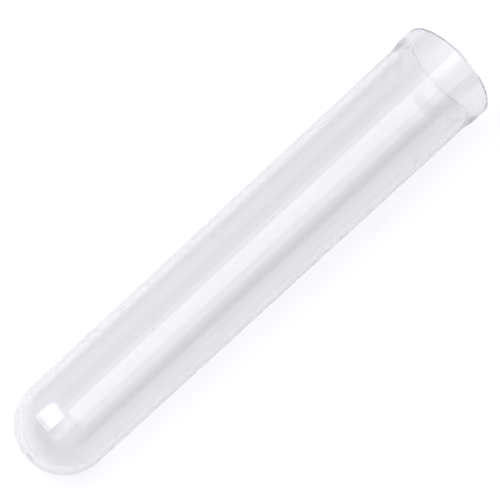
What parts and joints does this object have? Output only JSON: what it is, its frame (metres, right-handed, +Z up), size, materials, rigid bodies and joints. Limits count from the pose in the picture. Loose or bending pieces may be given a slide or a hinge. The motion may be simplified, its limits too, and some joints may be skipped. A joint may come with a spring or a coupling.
{
  "type": "test tube",
  "caption": "Clear round-bottom test tube, moulded in one piece, with a slightly flared, rounded lip and an open mouth, lying on its side.",
  "frame": {"origin": "on the surface that the tube lies on, under the middle of its length", "axes": "+Z up; +X along the tube towards its mouth; +Y across it. The tube rests on its lip and on its narrower round bottom, so its own axis climbs 0.62 degrees from +X towards the mouth"},
  "size_m": [0.095, 0.0172, 0.0173],
  "materials": {
    "clear_polystyrene": "clear, polished, with a faint cool tint"
  },
  "bodies": {
    "root": {"tube": "clear_polystyrene"}
  },
  "joints": []
}
